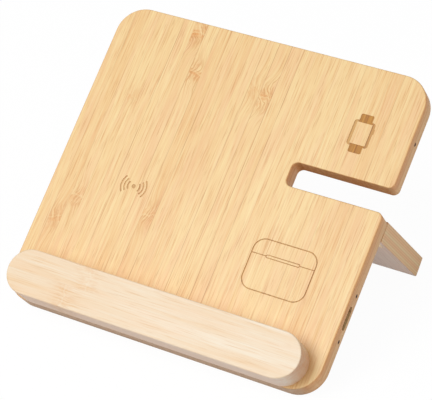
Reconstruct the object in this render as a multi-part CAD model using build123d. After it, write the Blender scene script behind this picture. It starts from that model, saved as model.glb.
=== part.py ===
from build123d import *
import os
from math import atan2, cos, degrees, radians, sin, tan

os.makedirs("parts", exist_ok=True)

# A bamboo charging dock: a slab leaning back on a folding leg, in millimetres.
# Board frame: X to the right, Y up the slope, Z out of the front face, which is at Z = 0.
# At the end everything is leaned back on its leg, with the table at Z = 0 and the front facing -Y.

# Board
board_width = 200.0
board_height = 190.0
board_thick = 12.5
board_corner = 17.0
front_round = 0.8
back_round = 0.7

# Watch slot, cut in from the right edge
slot_low = 109.2
slot_height = 14.6
slot_depth = 61.2
slot_corner = 3.7

# Phone ledge and the dowels that hold it
ledge_left_gap = 6.0
ledge_right_gap = 8.0
ledge_height = 27.0
ledge_depth = 16.0
ledge_round = 0.6
dowel_count = 3
dowel_end = 25.0
dowel_radius = 3.0
dowel_in_board = 8.0
dowel_in_ledge = 10.0
dowel_slack = 0.05

# Rear leg, open at rest, with its root's outer edge stopped by the board's back
leg_length = 80.0
leg_thick = 12.0
leg_below_slot = 0.8
leg_angle = 94.6
leg_round = 0.6
fold_gap = 0.4
stop_slack = 0.05
foot_flat = 0.8

# Butt hinges between the board's back and the leg's inner face
hinge_inset = 11.0
hinge_width = 16.0
hinge_leaf = 16.0
hinge_thick = 1.2
hinge_slack = 0.1
knuckle_radius = 2.0
knuckle_slack = 0.3
knuckle_gap = 0.25
pin_radius = 1.0
pin_slack = 0.05
pin_head_radius = 1.6
pin_head_thick = 0.6
hinge_screw_pitch = 8.0
hinge_screw_drop = 9.5

# Countersunk wood screws of the hinges and of the back plate
hinge_screw_radius = 1.0
hinge_screw_head = 1.9
hinge_screw_length = 8.0
plate_screw_radius = 1.0
plate_screw_head = 1.9
plate_screw_length = 7.0
screw_slack = 0.05
screw_tip_share = 0.2
drive_share = 0.7
drive_width = 0.5
drive_depth = 0.6

# Back plate and the pockets under it
skin_thick = 3.0
plate_thick = 2.0
plate_slack = 0.2
plate_lip = 4.5
plate_border = 7.0
plate_side = 3.5
plate_corner = 5.0
pocket_slack = 0.5
coil_thick = 1.6
ferrite_thick = 1.0

# Phone charging place, measured from the left edge
phone_inset = 52.0
phone_y = 83.0
phone_coil_radius = 25.0
phone_coil_hole = 10.0
phone_ferrite_radius = 26.5

# Earbuds charging place, measured from the right edge
buds_inset = 44.8
buds_y = 61.2
buds_coil_radius = 20.0
buds_coil_hole = 8.0
buds_ferrite_radius = 21.5

# Watch charging place, measured from the right edge and from the slot
watch_inset = 29.7
watch_rise = 25.9
watch_coil_radius = 14.0
watch_coil_hole = 6.0
watch_ferrite_radius = 15.5
magnet_radius = 4.5
magnet_thick = 2.0

# Circuit boards: their places, their sizes, and how deep their front faces lie
circuit_thick = 1.0
circuit_slack = 0.4
circuit_shelf = 5.0
circuit_inset = 2.4
circuit_edge = 6.5
control_length = 53.5
control_height = 37.0
control_low = 29.0
control_depth = 8.4
watch_board_length = 43.5
watch_board_height = 28.0
watch_depth = 7.3

# Pan-head screws of the circuit boards
pan_radius = 0.9
pan_head_radius = 1.6
pan_head_thick = 0.8
pan_length = 4.5

# Charging socket
socket_y = 48.2
socket_width = 8.9
socket_thick = 3.2
socket_depth = 7.3
socket_wall = 0.3
socket_inset = 1.2
socket_room = 0.5
socket_shelf = 2.5
tongue_width = 6.6
tongue_thick = 0.7
tongue_length = 4.6
cutout_width = 14.0
cutout_thick = 4.2

# Indicator lights and the clear pipes in front of them
control_lights_y = (62.0, 34.7)
watch_light_rise = 4.4
light_size = 1.6
light_thick = 0.8
light_edge = 0.2
pipe_radius = 0.85
pipe_slack = 0.05
pipe_inset = 0.15
pipe_gap = 0.1

# Parts on the circuit boards
chip_size = 5.0
chip_thick = 0.9
chip_count = 3
inductor_size = 4.4
inductor_thick = 1.8
inductor_round = 0.8
inductor_count = 2
capacitor_length = 2.4
capacitor_width = 1.5
capacitor_thick = 1.2
capacitor_count = 5

# Leads and their channels
lead_radius = 0.6
lead_pitch = 1.6
lead_touch = 0.05
lead_landing = 4.0
lead_straight = 3.0
lead_bend = 4.0
phone_lead_y = 47.0
phone_lead_angle = 55.0
coil_lead_angle = 15.0
lead_fan = 5.0
watch_lead_inset = 11.8
watch_lead_y = 57.0
watch_lead_rise = 0.3
channel_width = 6.0

# Burnt marks on the front face
mark_depth = 0.3
wave_dot = 1.3
wave_radii = (3.8, 6.0, 8.15)
wave_half_angle = 38.0
wave_width = 0.9
case_width = 39.7
case_height = 30.7
case_corner = 7.2
case_line = 0.65
lid_rise = 5.55
lid_line = 0.5
lid_pill_length = 21.2
lid_pill_height = 2.15
face_width = 12.9
face_height = 15.7
face_side = 1.8
face_end = 1.2
face_corner = 1.8
strap_width = 7.8
strap_height = 5.2
strap_corner = 0.9
crown_width = 0.5
crown_height = 3.2
crown_rise = 2.8

# One overrun for cuts that leave the material, and shares used by rounding
overrun = 1.0
bend_share = 0.45
round_end_share = 0.49

# Places worked out from the sizes above
half_width = board_width / 2
back_z = -board_thick
out_z = back_z - overrun
slot_high = slot_low + slot_height
slot_end_x = half_width - slot_depth
ledge_length = board_width - ledge_left_gap - ledge_right_gap
ledge_shift = (ledge_left_gap - ledge_right_gap) / 2
dowel_pitch = (ledge_length - dowel_end * 2) / (dowel_count - 1)
hinge_offset = half_width - hinge_inset
phone_x = phone_inset - half_width
buds_x = half_width - buds_inset
watch_x = half_width - watch_inset
watch_y = slot_high + watch_rise
circuit_right = half_width - circuit_edge
control_left = circuit_right - control_length
control_high = control_low + control_height
watch_left = circuit_right - watch_board_length
watch_low = watch_y - watch_board_height / 2
watch_high = watch_y + watch_board_height / 2
watch_light_y = watch_y + watch_light_rise
watch_lead_x = slot_end_x - watch_lead_inset
watch_lead_top = watch_y + watch_lead_rise
skin_z = -skin_thick
coil_back_z = skin_z - coil_thick
ferrite_back_z = coil_back_z - ferrite_thick
lead_mid_z = skin_z - coil_thick / 2
control_face = -control_depth
watch_face = -watch_depth
plate_z = back_z + plate_thick
socket_z = control_face + socket_thick / 2
socket_back_x = half_width - socket_inset - socket_depth
tongue_end_x = half_width - plate_side - circuit_slack
control_lead_z = control_face + lead_radius + lead_touch
watch_lead_z = watch_face + lead_radius + lead_touch

# Edges of the back plate
plate_left = phone_x - phone_ferrite_radius - plate_lip
plate_right = half_width - plate_side
plate_low = control_low - plate_border
plate_step_x = hinge_offset - hinge_width / 2 - plate_lip
plate_step_y = control_high + plate_border
plate_shoulder = slot_low - plate_lip
neck_left = watch_lead_x - channel_width / 2 - plate_border * 3 / 2
neck_right = slot_end_x - plate_lip
phone_top = phone_y + phone_ferrite_radius + plate_lip
tab_low = slot_high + plate_lip
tab_high = watch_high + plate_border

# The leg's hinge axis, and the lean that sets both lower corners on the table
axis_z = back_z - fold_gap / 2
leg_face_z = axis_z - fold_gap / 2
leg_reach = fold_gap / 2 + leg_thick
swing = radians(leg_angle)
leg_setback = (stop_slack - fold_gap / 2 - leg_reach * cos(swing)) / sin(swing)
axis_y = slot_low - leg_below_slot - leg_reach * sin(swing) + leg_setback * cos(swing)
foot_run = leg_setback + leg_length
foot_y = axis_y - foot_run * cos(swing) + fold_gap / 2 * sin(swing)
foot_z = axis_z - foot_run * sin(swing) - fold_gap / 2 * cos(swing)
lean = atan2(back_z - foot_z, foot_y)
lean_angle = degrees(lean)

pieces = {}


def keep(name, *solids):
    """Stores the separate solids of one named sub-part."""
    pieces[name] = list(solids)


def block(x0, x1, y0, y1, z0, z1):
    """A box given by its lowest and highest places."""
    middle = ((x0 + x1) / 2, (y0 + y1) / 2, (z0 + z1) / 2)
    return Pos(*middle) * Box(x1 - x0, y1 - y0, z1 - z0)


def drum(x, y, z0, z1, radius):
    """A round bar along Z between two heights."""
    return Pos(x, y, (z0 + z1) / 2) * Cylinder(radius, z1 - z0)


def bar(x0, x1, y, z, radius):
    """A round bar along X between two places."""
    return Pos((x0 + x1) / 2, y, z) * Rot(0, 90, 0) * Cylinder(radius, x1 - x0)


def slab(sketch, z0, z1):
    """A flat outline made solid between two heights."""
    return Pos(0, 0, z0) * extrude(sketch, z1 - z0)


def opened(part):
    """Turns a piece of the leg from its folded place to its open place."""
    return Pos(0, axis_y, axis_z) * Rot(leg_angle, 0, 0) * Pos(0, -axis_y, -axis_z) * part


def rounded(width, height, radius):
    """A rectangle with round corners, or nearly round ends where the radius is half a side."""
    limit = min(width, height) * round_end_share
    return fillet(Rectangle(width, height).vertices(), min(radius, limit))


def cross_drive(radius, depth):
    """The cross-shaped recess of a screw's drive, opening down from Z = 0."""
    reach = radius * drive_share
    half = drive_width / 2
    drive = block(-reach, reach, -half, half, -overrun, depth)
    return drive + block(-half, half, -reach, reach, -overrun, depth)


def wood_screw(radius, head, length):
    """A countersunk wood screw: its head's face at Z = 0, its point up +Z."""
    sink = head - radius
    tip = radius * 2
    screw = Pos(0, 0, sink / 2) * Cone(head, radius, sink)
    screw += drum(0, 0, sink, length - tip, radius)
    screw += Pos(0, 0, length - tip / 2) * Cone(radius, radius * screw_tip_share, tip)
    return screw - cross_drive(head, drive_depth)


def wood_screw_hole(radius, head, length):
    """The room that a countersunk wood screw takes."""
    sink = head - radius
    room = Pos(0, 0, sink / 2) * Cone(head + screw_slack, radius + screw_slack, sink)
    room += drum(0, 0, -overrun, 0, head + screw_slack)
    return room + drum(0, 0, 0, length + screw_slack, radius + screw_slack)


def pan_screw(x, y, front_z):
    """A pan-head screw through a circuit board into its shelf."""
    face = front_z - circuit_thick
    screw = drum(x, y, face - pan_head_thick, face, pan_head_radius)
    screw = fillet(screw.edges().sort_by(Axis.Z)[0], pan_head_thick / 2)
    screw += drum(x, y, face, face + pan_length, pan_radius)
    return screw - Pos(x, y, face - pan_head_thick) * cross_drive(pan_head_radius, pan_head_thick / 2)


def bend_radii(points, limit):
    """The largest round bends that straight runs between the points allow, up to a limit."""
    runs = [Vector(*b) - Vector(*a) for a, b in zip(points, points[1:])]
    radii = []
    for before, after in zip(runs, runs[1:]):
        turn = radians(before.get_angle(after))
        shorter = min(before.length, after.length)
        radii.append(min(limit, shorter * bend_share / tan(turn / 2)))
    return radii


def lead(points, limit):
    """A round lead along straight runs joined by tangent arcs."""
    path = FilletPolyline(*points, radius=bend_radii(points, limit))
    start = Plane(origin=path @ 0, z_dir=path % 0)
    return sweep(start * Circle(lead_radius), path=path)


def board_outline():
    """The board's outline with its round corners and the watch slot."""
    outline = Pos(0, board_height / 2) * Rectangle(board_width, board_height)
    outline = fillet(outline.vertices(), board_corner)
    outline -= Pos(half_width, (slot_low + slot_high) / 2) * Rectangle(slot_depth * 2, slot_height)
    corners = [v for v in outline.vertices() if slot_low - overrun < v.Y < slot_high + overrun]
    return fillet(corners, slot_corner)


def wave_mark():
    """A dot with three arcs on each side of it."""
    mark = Sketch() + Circle(wave_dot)
    for radius in wave_radii:
        ring = Circle(radius + wave_width / 2) - Circle(radius - wave_width / 2)
        run = radius * 2
        rise = run * tan(radians(wave_half_angle))
        for side in (1, -1):
            fan = make_face(Polyline((0, 0), (side * run, -rise), (side * run, rise), close=True))
            mark += ring & fan
    return Pos(phone_x, phone_y) * mark


def case_mark():
    """An earbuds case in outline: a rounded box, its lid line and its small hinge."""
    mark = rounded(case_width, case_height, case_corner)
    mark -= rounded(case_width - case_line * 2, case_height - case_line * 2, case_corner - case_line)
    pill = Pos(0, lid_rise) * rounded(lid_pill_length, lid_pill_height, lid_pill_height / 2)
    hole_height = lid_pill_height - lid_line * 2
    hole = Pos(0, lid_rise) * rounded(lid_pill_length - lid_line * 2, hole_height, hole_height / 2)
    lid = Pos(0, lid_rise) * Rectangle(case_width - case_line, lid_line)
    return Pos(buds_x, buds_y) * (mark + (lid - pill) + (pill - hole))


def watch_mark():
    """A square watch with two pieces of strap and a crown."""
    mark = rounded(face_width, face_height, face_corner)
    strap_y = (face_height + strap_height) / 2 - face_end
    for side in (1, -1):
        mark += Pos(0, side * strap_y) * rounded(strap_width, strap_height, strap_corner)
    mark += Pos(face_width / 2, crown_rise) * Rectangle(crown_width * 2, crown_height)
    window = Rectangle(face_width - face_side * 2, face_height - face_end * 2)
    return Pos(watch_x, watch_y) * (mark - window)


def plate_outline():
    """The back plate's outline: over the phone and control places, round the slot, to the watch place."""
    points = (
        (plate_left, plate_low),
        (plate_right, plate_low),
        (plate_right, plate_step_y),
        (plate_step_x, plate_step_y),
        (plate_step_x, plate_shoulder),
        (neck_right, plate_shoulder),
        (neck_right, tab_low),
        (plate_right, tab_low),
        (plate_right, tab_high),
        (neck_left, tab_high),
        (neck_left, phone_top),
        (plate_left, phone_top),
    )
    face = make_face(Polyline(*points, close=True))
    return fillet(face.vertices(), plate_corner)


def plate_screw_places():
    """Places of the back plate's screws, all over solid wood."""
    edge = plate_border / 2
    return (
        (plate_left + edge, plate_low + edge),
        (watch_lead_x / 2, plate_low + edge),
        (plate_right - edge, plate_low + edge),
        (plate_right - edge, plate_step_y - edge),
        (plate_step_x - edge, plate_shoulder - edge),
        (neck_right + edge, tab_low + edge),
        (plate_right - edge, tab_low + edge),
        (plate_right - edge, tab_high - edge),
        (neck_left + edge, tab_high - edge),
        (neck_left - edge, phone_top - edge),
        (plate_left + edge, phone_top - edge),
    )


def hinge_screw_places():
    """Places of the two screws in one leaf of each hinge."""
    y = axis_y - hinge_screw_drop
    half = hinge_screw_pitch / 2
    return [(side * hinge_offset + step, y) for side in (-1, 1) for step in (-half, half)]


def control_screw_places():
    """Three corners of the control board: the fourth lies over the earbuds coil."""
    left = control_left + circuit_inset
    right = circuit_right - circuit_inset
    low = control_low + circuit_inset
    high = control_high - circuit_inset
    return [(left, low), (right, low), (right, high)]


def watch_screw_places():
    """The four corners of the watch board."""
    xs = (watch_left + circuit_inset, circuit_right - circuit_inset)
    ys = (watch_low + circuit_inset, watch_high - circuit_inset)
    return [(x, y) for x in xs for y in ys]


def dowel_places():
    """Places of the dowels along the middle of the ledge."""
    middle = (dowel_count - 1) / 2
    return [(ledge_shift + (n - middle) * dowel_pitch, ledge_height / 2) for n in range(dowel_count)]


def light_places():
    """Each indicator light's height on the board and the face that it sits on."""
    return [(y, control_face) for y in control_lights_y] + [(watch_light_y, watch_face)]


def hinge_groove():
    """The round grooves that take the two hinges' knuckles and pin heads."""
    half = hinge_width / 2 + pin_head_thick + knuckle_gap * 2
    groove = Part()
    for side in (-1, 1):
        x = side * hinge_offset
        groove += bar(x - half, x + half, axis_y, axis_z, knuckle_radius + knuckle_slack)
    return groove


def leaf_room(z0, z1):
    """The shallow mortises of the two hinges' leaves."""
    half = hinge_width / 2 + hinge_slack
    room = Part()
    for side in (-1, 1):
        x = side * hinge_offset
        room += block(x - half, x + half, axis_y - hinge_leaf - hinge_slack, axis_y, z0, z1)
    return room


def coil_pocket(x, y, radius):
    """The round pocket of a coil and its ferrite disc."""
    return drum(x, y, out_z, skin_z, radius + pocket_slack)


def circuit_pocket(left, low, high, face, screws):
    """A stepped pocket: a shelf that the circuit board lies on, and the room for its parts inside."""
    slack = circuit_slack
    room = block(left - slack, circuit_right + slack, low - slack, high + slack, out_z, face)
    shelf = circuit_shelf
    room += block(left + shelf, circuit_right - shelf, low + shelf, high - shelf, out_z, skin_z)
    for x, y in screws:
        room += drum(x, y, face - overrun, face + pan_length, pan_radius + screw_slack)
    return room


def light_room(y, face):
    """The room of one indicator light and the hole for its light pipe."""
    low_x = circuit_right - light_size * 2
    high_x = circuit_right + circuit_slack
    room = block(low_x, high_x, y - light_size, y + light_size, out_z, face + light_thick * 2)
    hole_radius = pipe_radius + pipe_slack
    return room + bar(circuit_right, half_width + overrun, y, face + light_thick / 2, hole_radius)


def lead_channels():
    """The channels of the phone coil's leads and of the leads that go round the slot to the watch."""
    half = channel_width / 2
    low = phone_lead_y - half
    room = block(phone_x, control_left + circuit_shelf, low, phone_lead_y + half, out_z, skin_z)
    room += block(phone_x, phone_x + phone_ferrite_radius + lead_pitch, low, phone_y, out_z, skin_z)
    floor = watch_lead_z + lead_radius * 2
    left = watch_lead_x - half
    end_x = control_left + circuit_shelf
    room += block(left, end_x, watch_lead_y - half, watch_lead_y + half, out_z, floor)
    room += block(left, watch_lead_x + half, watch_lead_y - half, watch_lead_top + half, out_z, floor)
    end_x = watch_left + circuit_shelf
    return room + block(left, end_x, watch_lead_top - half, watch_lead_top + half, out_z, floor)


def socket_cuts():
    """The notch that takes the socket's end of the control board, and the cut-out in the board's side."""
    half = socket_width / 2 + socket_shelf + circuit_slack
    top = control_face + socket_thick + socket_room
    inner_x = circuit_right - circuit_shelf
    room = block(inner_x, tongue_end_x + circuit_slack, socket_y - half, socket_y + half, out_z, top)
    cutout = extrude(SlotOverall(cutout_width, cutout_thick, rotation=90), plate_side + overrun * 2)
    return room + Pos(half_width - plate_side - overrun, socket_y, socket_z) * Rot(0, 90, 0) * cutout


def make_board():
    """The front board with its slot, pockets, cut-out, holes and burnt marks."""
    board = slab(board_outline(), back_z, 0)
    board = fillet(board.faces().sort_by(Axis.Z)[-1].edges(), front_round)
    board = fillet(board.faces().sort_by(Axis.Z)[0].edges(), back_round)
    board -= slab(offset(plate_outline(), plate_slack), out_z, plate_z)
    plate_hole = wood_screw_hole(plate_screw_radius, plate_screw_head, plate_screw_length)
    for x, y in plate_screw_places():
        board -= Pos(x, y, back_z) * plate_hole
    board -= coil_pocket(phone_x, phone_y, phone_ferrite_radius)
    board -= coil_pocket(buds_x, buds_y, buds_ferrite_radius)
    board -= coil_pocket(watch_x, watch_y, watch_ferrite_radius)
    board -= circuit_pocket(control_left, control_low, control_high, control_face, control_screw_places())
    board -= circuit_pocket(watch_left, watch_low, watch_high, watch_face, watch_screw_places())
    board -= lead_channels()
    board -= socket_cuts()
    for y, face in light_places():
        board -= light_room(y, face)
    board -= hinge_groove()
    board -= leaf_room(out_z, back_z + hinge_thick)
    hinge_hole = wood_screw_hole(hinge_screw_radius, hinge_screw_head, hinge_screw_length)
    for x, y in hinge_screw_places():
        board -= Pos(x, y, back_z) * hinge_hole
    for x, y in dowel_places():
        board -= drum(x, y, -dowel_in_board, overrun, dowel_radius + dowel_slack)
    for mark in (wave_mark(), case_mark(), watch_mark()):
        board -= slab(mark, -mark_depth, overrun)
    keep("front_board", board)


def make_ledge():
    """The phone ledge, a bar with round ends, and the dowels that hold it to the board."""
    outline = Pos(ledge_shift, ledge_height / 2) * SlotOverall(ledge_length, ledge_height)
    ledge = slab(outline, 0, ledge_depth)
    ledge = fillet(ledge.faces().sort_by(Axis.Z)[-1].edges(), ledge_round)
    dowels = []
    for x, y in dowel_places():
        ledge -= drum(x, y, -overrun, dowel_in_ledge, dowel_radius + dowel_slack)
        dowel = drum(x, y, dowel_slack - dowel_in_board, dowel_in_ledge - dowel_slack, dowel_radius)
        ends = dowel.edges().filter_by(GeomType.CIRCLE)
        dowels.append(chamfer(ends, dowel_radius / 6))
    keep("phone_ledge", ledge)
    keep("ledge_dowels", *dowels)


def make_leg():
    """The rear leg, drawn folded flat and then opened."""
    root_y = axis_y - leg_setback
    leg = block(-half_width, half_width, root_y - leg_length, root_y, leg_face_z - leg_thick, leg_face_z)
    stop_edge = leg.edges().filter_by(Axis.X).sort_by(lambda edge: edge.center().Y - edge.center().Z)[-1]
    soft_edges = [edge for edge in leg.edges() if not edge.is_same(stop_edge)]
    leg = fillet(soft_edges, leg_round)
    leg -= hinge_groove()
    leg -= leaf_room(leg_face_z - hinge_thick, leg_face_z + overrun)
    hole = Rot(180, 0, 0) * wood_screw_hole(hinge_screw_radius, hinge_screw_head, hinge_screw_length)
    for x, y in hinge_screw_places():
        leg -= Pos(x, y, leg_face_z) * hole
    keep("rear_leg", opened(leg))


def hinge_leaf_solid(x, z0, z1, knuckles, gaps):
    """One leaf of a hinge: its plate, cleared for the other leaf's knuckles, and its own knuckles."""
    low_x = x - hinge_width / 2
    high_x = x + hinge_width / 2
    leaf = block(low_x, high_x, axis_y - hinge_leaf, axis_y, z0, z1)
    for x0, x1 in gaps:
        leaf -= bar(x0, x1, axis_y, axis_z, knuckle_radius + knuckle_slack)
    for x0, x1 in knuckles:
        leaf += bar(x0, x1, axis_y, axis_z, knuckle_radius)
    return leaf - bar(low_x - overrun, high_x + overrun, axis_y, axis_z, pin_radius + pin_slack)


def hinge_pin(x):
    """A hinge pin with a flat head at each end."""
    end = hinge_width / 2 + knuckle_gap
    pin = bar(x - end, x + end, axis_y, axis_z, pin_radius)
    for x0 in (x - end - pin_head_thick, x + end):
        pin += bar(x0, x0 + pin_head_thick, axis_y, axis_z, pin_head_radius)
    return pin


def make_hinges():
    """Two butt hinges of three knuckles each, the middle one on the leg's leaf."""
    third = (hinge_width - knuckle_gap * 2) / 3
    hole = wood_screw_hole(hinge_screw_radius, hinge_screw_head, hinge_screw_length)
    screw = wood_screw(hinge_screw_radius, hinge_screw_head, hinge_screw_length)
    places = hinge_screw_places()
    on_board = [Pos(x, y, back_z) for x, y in places]
    on_leg = [Pos(x, y, leg_face_z) * Rot(180, 0, 0) for x, y in places]
    board_leaves = []
    leg_leaves = []
    pins = []
    for n, side in enumerate((-1, 1)):
        x = side * hinge_offset
        low_x = x - hinge_width / 2
        high_x = x + hinge_width / 2
        first = (low_x, low_x + third)
        middle = (low_x + third + knuckle_gap, high_x - third - knuckle_gap)
        last = (high_x - third, high_x)
        between = [(first[1], last[0])]
        beside = [(low_x - overrun, middle[0]), (middle[1], high_x + overrun)]
        board_leaf = hinge_leaf_solid(x, back_z, back_z + hinge_thick, [first, last], between)
        leg_leaf = hinge_leaf_solid(x, leg_face_z - hinge_thick, leg_face_z, [middle], beside)
        for place in on_board[n * 2:n * 2 + 2]:
            board_leaf -= place * hole
        for place in on_leg[n * 2:n * 2 + 2]:
            leg_leaf -= place * hole
        board_leaves.append(board_leaf)
        leg_leaves.append(opened(leg_leaf))
        pins.append(hinge_pin(x))
    keep("hinge_board_leaves", *board_leaves)
    keep("hinge_leg_leaves", *leg_leaves)
    keep("hinge_pins", *pins)
    keep("hinge_board_screws", *[place * screw for place in on_board])
    keep("hinge_leg_screws", *[opened(place * screw) for place in on_leg])


def make_back_plate():
    """The plate that closes the back, flush in its rabbet, and its screws."""
    plate = slab(plate_outline(), back_z, plate_z)
    hole = wood_screw_hole(plate_screw_radius, plate_screw_head, plate_screw_length)
    screw = wood_screw(plate_screw_radius, plate_screw_head, plate_screw_length)
    screws = []
    for x, y in plate_screw_places():
        plate -= Pos(x, y, back_z) * hole
        screws.append(Pos(x, y, back_z) * screw)
    keep("back_plate", plate)
    keep("back_plate_screws", *screws)


def flat_coil(x, y, radius, hole):
    """A flat wound coil against the wood, drawn as a ring."""
    return drum(x, y, coil_back_z, skin_z, radius) - drum(x, y, coil_back_z, skin_z, hole)


def make_coils():
    """The three charging coils, the ferrite discs behind them and the watch's magnet."""
    keep("phone_coil", flat_coil(phone_x, phone_y, phone_coil_radius, phone_coil_hole))
    keep("earbuds_coil", flat_coil(buds_x, buds_y, buds_coil_radius, buds_coil_hole))
    keep("watch_coil", flat_coil(watch_x, watch_y, watch_coil_radius, watch_coil_hole))
    keep("phone_ferrite", drum(phone_x, phone_y, ferrite_back_z, coil_back_z, phone_ferrite_radius))
    keep("earbuds_ferrite", drum(buds_x, buds_y, ferrite_back_z, coil_back_z, buds_ferrite_radius))
    watch_disc = drum(watch_x, watch_y, ferrite_back_z, coil_back_z, watch_ferrite_radius)
    magnet_z = skin_z - magnet_thick
    watch_disc -= drum(watch_x, watch_y, magnet_z, skin_z, magnet_radius + pocket_slack)
    keep("watch_ferrite", watch_disc)
    keep("watch_magnet", drum(watch_x, watch_y, magnet_z, skin_z, magnet_radius))


def circuit_board(left, low, high, face, screws):
    """A flat circuit board with its screw holes."""
    circuit = block(left, circuit_right, low, high, face - circuit_thick, face)
    for x, y in screws:
        circuit -= drum(x, y, face - circuit_thick - overrun, face + overrun, pan_radius + screw_slack)
    return circuit


def make_control_board():
    """The control board, its screws and the parts soldered on its front face."""
    face = control_face
    circuit = circuit_board(control_left, control_low, control_high, face, control_screw_places())
    half = socket_width / 2 + socket_shelf
    circuit += block(circuit_right - overrun, tongue_end_x, socket_y - half, socket_y + half,
                     face - circuit_thick, face)
    keep("control_board", circuit)
    keep("control_board_screws", *[pan_screw(x, y, face) for x, y in control_screw_places()])
    low_x = control_left + circuit_shelf + chip_size
    low_y = control_low + circuit_shelf + capacitor_width
    chips = []
    for n in range(chip_count):
        x = low_x + n * chip_size * 2
        y = low_y + capacitor_width + chip_size
        chips.append(block(x, x + chip_size, y, y + chip_size, face, face + chip_thick))
    keep("control_chips", *chips)
    inductors = []
    for n in range(inductor_count):
        x = low_x + n * inductor_size * 2
        y = low_y + capacitor_width + chip_size * 3
        body = block(x, x + inductor_size, y, y + inductor_size, face, face + inductor_thick)
        inductors.append(fillet(body.edges().filter_by(Axis.Z), inductor_round))
    keep("power_inductors", *inductors)
    capacitors = []
    for n in range(capacitor_count):
        x = low_x + n * capacitor_length * 2
        capacitors.append(block(x, x + capacitor_length, low_y, low_y + capacitor_width,
                                face, face + capacitor_thick))
    keep("capacitors", *capacitors)


def make_watch_board():
    """The watch's own small circuit board, its screws and its chip."""
    face = watch_face
    keep("watch_board", circuit_board(watch_left, watch_low, watch_high, face, watch_screw_places()))
    keep("watch_board_screws", *[pan_screw(x, y, face) for x, y in watch_screw_places()])
    x = watch_left + circuit_shelf + chip_size
    y = watch_low + circuit_shelf
    keep("watch_chip", block(x, x + chip_size, y, y + chip_size, face, face + chip_thick))


def make_socket():
    """The charging socket: a drawn metal shell with its tongue inside."""
    wall = socket_wall
    inner_thick = socket_thick - wall * 2
    outer = extrude(rounded(socket_thick, socket_width, socket_thick / 2), socket_depth)
    inner = extrude(rounded(inner_thick, socket_width - wall * 2, inner_thick / 2), socket_depth)
    shell = outer - Pos(0, 0, wall) * inner
    keep("socket_shell", Pos(socket_back_x, socket_y, socket_z) * Rot(0, 90, 0) * shell)
    x = socket_back_x + wall
    half = tongue_width / 2
    half_thick = tongue_thick / 2
    keep("socket_tongue", block(x, x + tongue_length, socket_y - half, socket_y + half,
                                socket_z - half_thick, socket_z + half_thick))


def make_lights():
    """The indicator lights at the circuit boards' edges, and the clear pipes that carry their light out."""
    high_x = circuit_right - light_edge
    half = light_size / 2
    lights = []
    pipes = []
    for y, face in light_places():
        lights.append(block(high_x - light_size, high_x, y - half, y + half, face, face + light_thick))
        low_x = circuit_right + pipe_gap
        pipes.append(bar(low_x, half_width - pipe_inset, y, face + light_thick / 2, pipe_radius))
    keep("indicator_lights", *lights)
    keep("light_pipes", *pipes)


def phone_leads():
    """The phone coil's leads: square off its rim, then along their channel to the control board."""
    end_x = control_left + circuit_shelf + lead_straight
    leads = []
    for side in (1, -1):
        angle = radians(phone_lead_angle - side * lead_fan / 2)
        y = phone_lead_y + side * lead_pitch / 2
        start = phone_coil_radius + lead_touch
        points = (
            (phone_x + start * cos(angle), phone_y - start * sin(angle), lead_mid_z),
            (phone_x + (phone_y - y) / tan(angle), y, lead_mid_z),
            (end_x - lead_landing, y, control_lead_z),
            (end_x, y, control_lead_z),
        )
        leads.append(lead(points, lead_bend * 3))
    return leads


def short_leads(x, y, radius, face):
    """A coil's two leads that leave its rim and turn straight down to the circuit board behind it."""
    leads = []
    for side in (1, -1):
        angle = -radians(coil_lead_angle + side * lead_fan)
        start = radius + lead_touch
        end = start + lead_straight
        bend = (x + end * cos(angle), y + end * sin(angle))
        points = (
            (x + start * cos(angle), y + start * sin(angle), lead_mid_z),
            (*bend, lead_mid_z),
            (*bend, face + lead_touch),
        )
        leads.append(lead(points, lead_bend))
    return leads


def board_leads():
    """The leads from the control board round the slot's inner end to the watch board."""
    leads = []
    for side in (1, -1):
        step = side * lead_pitch / 2
        x = watch_lead_x + step
        points = (
            (control_left + circuit_shelf + lead_straight, watch_lead_y + step, control_lead_z),
            (x, watch_lead_y + step, control_lead_z),
            (x, watch_lead_top - step, watch_lead_z),
            (watch_left + circuit_shelf + lead_straight, watch_lead_top - step, watch_lead_z),
        )
        leads.append(lead(points, lead_bend))
    return leads


def make_leads():
    """All insulated leads."""
    keep("phone_coil_leads", *phone_leads())
    keep("earbuds_coil_leads", *short_leads(buds_x, buds_y, buds_coil_radius, control_face))
    keep("watch_coil_leads", *short_leads(watch_x, watch_y, watch_coil_radius, watch_face))
    keep("board_leads", *board_leads())


def stand_up():
    """Leans the dock on its leg, trims both feet flat on the table and centres it."""
    table_z = back_z * cos(lean) + foot_flat
    lean_back = Pos(0, 0, -table_z) * Rot(lean_angle, 0, 0)
    table = block(-board_width, board_width, -board_height, board_height * 2, -board_height, 0)
    for name, solids in pieces.items():
        pieces[name] = [lean_back * solid for solid in solids]
    for name in ("front_board", "rear_leg"):
        pieces[name] = [solid - table for solid in pieces[name]]
    outer = pieces["front_board"] + pieces["phone_ledge"] + pieces["rear_leg"]
    boxes = [solid.bounding_box() for solid in outer]
    middle = (min(box.min.Y for box in boxes) + max(box.max.Y for box in boxes)) / 2
    for name, solids in pieces.items():
        pieces[name] = [Pos(0, -middle, 0) * solid for solid in solids]
    return Pos(0, -middle, 0) * lean_back


def show(label, place, point):
    """Prints one place of the board frame in the finished frame, in millimetres."""
    spot = (place * Pos(*point)).position
    print(f"{label}: {spot.X:.3f} {spot.Y:.3f} {spot.Z:.3f}")


make_board()
make_ledge()
make_leg()
make_hinges()
make_back_plate()
make_coils()
make_control_board()
make_watch_board()
make_socket()
make_lights()
make_leads()
place = stand_up()

for name, solids in pieces.items():
    parts = [one for solid in solids for one in solid.solids()]
    export_step(Compound(children=parts, label=name), f"parts/{name}.step")

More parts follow.
